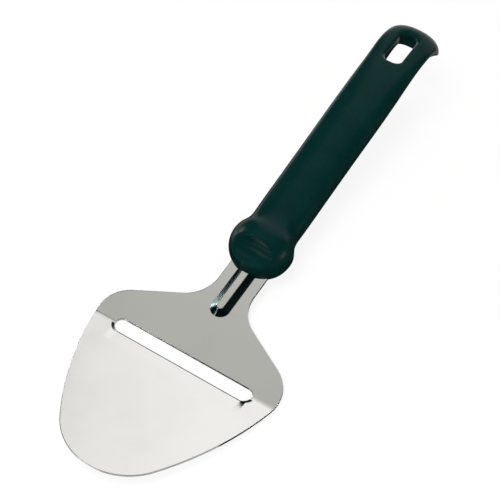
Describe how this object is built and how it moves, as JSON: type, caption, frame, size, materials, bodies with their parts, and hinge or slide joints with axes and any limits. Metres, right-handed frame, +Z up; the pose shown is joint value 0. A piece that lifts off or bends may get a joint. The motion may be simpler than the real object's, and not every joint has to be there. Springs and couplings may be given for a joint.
{
  "type": "cheese slicer",
  "caption": "Cheese slicer: a leaf-shaped steel blade folded at its slicing slot, with a pressed cutting lip and a ribbed neck, in a moulded plastic handle with a thumb rest and a hang hole.",
  "frame": {"origin": "under the middle of the slicer, on the surface that it rests on", "axes": "X across the slicer, +Y from the tip of the blade to the tail of the handle, +Z up, as it rests on its cutting lip and on the underside of the ball"},
  "size_m": [0.0862, 0.2566, 0.0393],
  "materials": {
    "steel": "fine satin, nearly bright, stainless",
    "plastic": "satin moulded, very dark green"
  },
  "bodies": {
    "root": {"blade": "steel", "handle": "plastic"}
  },
  "joints": []
}
